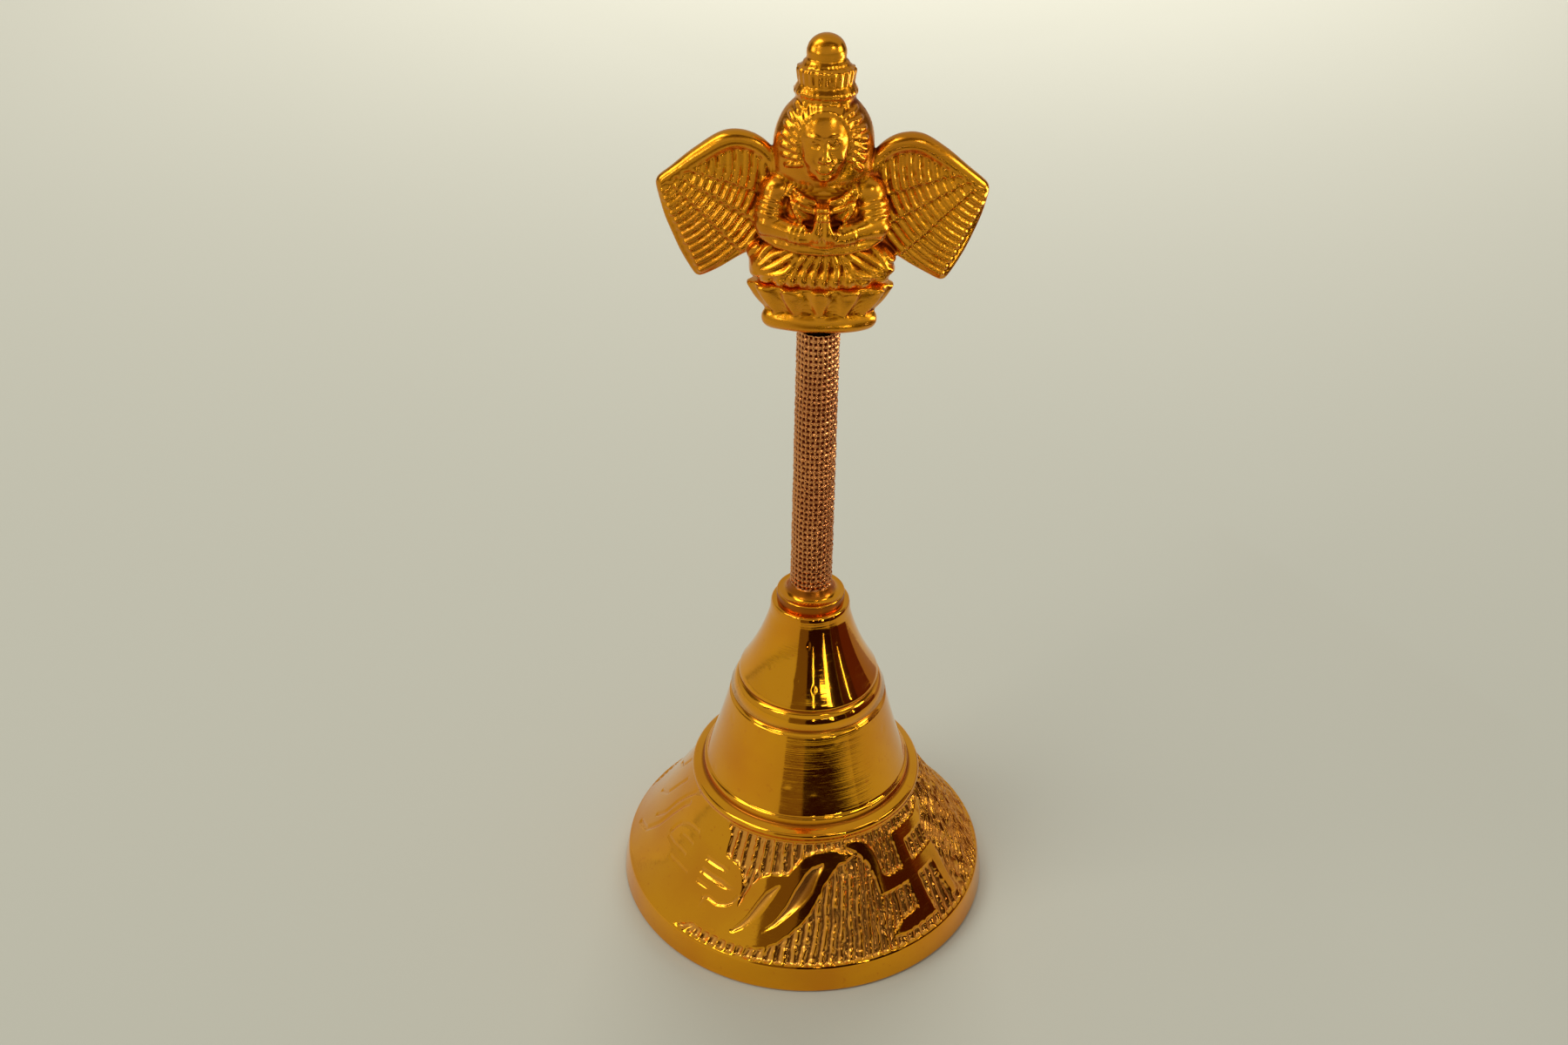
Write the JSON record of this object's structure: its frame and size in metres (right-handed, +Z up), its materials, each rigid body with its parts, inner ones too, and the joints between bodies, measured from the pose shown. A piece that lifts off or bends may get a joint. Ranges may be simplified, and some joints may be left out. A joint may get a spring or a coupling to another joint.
{
  "type": "brass puja hand bell",
  "caption": "Turned and engraved hand bell with a woven-pattern grip, a winged figure on a lotus seat as its finial, and a free-swinging clapper inside.",
  "frame": {"origin": "centre of the rim, on the plane that the bell stands on", "axes": "+Z up along the bell's axis, the figure faces -Y, +X to the viewer's right when facing the figure"},
  "size_m": [0.066, 0.066, 0.1553],
  "materials": {
    "bell_brass": "polished, turned, engraved skirt",
    "grip_brass": "cast weave pattern, pinkish",
    "figure_brass": "polished casting, toned in the hollows",
    "stud_steel": "plain machined",
    "clapper_brass": "turned, dulled"
  },
  "bodies": {
    "bell": {"bell_body": "bell_brass", "crown_collar": "bell_brass", "grip": "grip_brass", "garuda_finial": "figure_brass", "tie_stud": "stud_steel", "crown_washer": "stud_steel", "hanger_nut": "stud_steel"},
    "eye": {"swivel_eye": "stud_steel"},
    "clapper": {"clapper_rod": "clapper_brass", "clapper_ball": "clapper_brass"}
  },
  "joints": [
    {"name": "clapper_turn", "type": "hinge", "parent": "bell", "child": "eye", "pos_m": [0, 0, 0.0487], "axis": [0, 0, 1], "continuous": true},
    {"name": "clapper_swing", "type": "hinge", "parent": "eye", "child": "clapper", "pos_m": [0, 0, 0.0429], "axis": [1, 0, 0], "range_deg": [-29.6, 29.6]}
  ]
}
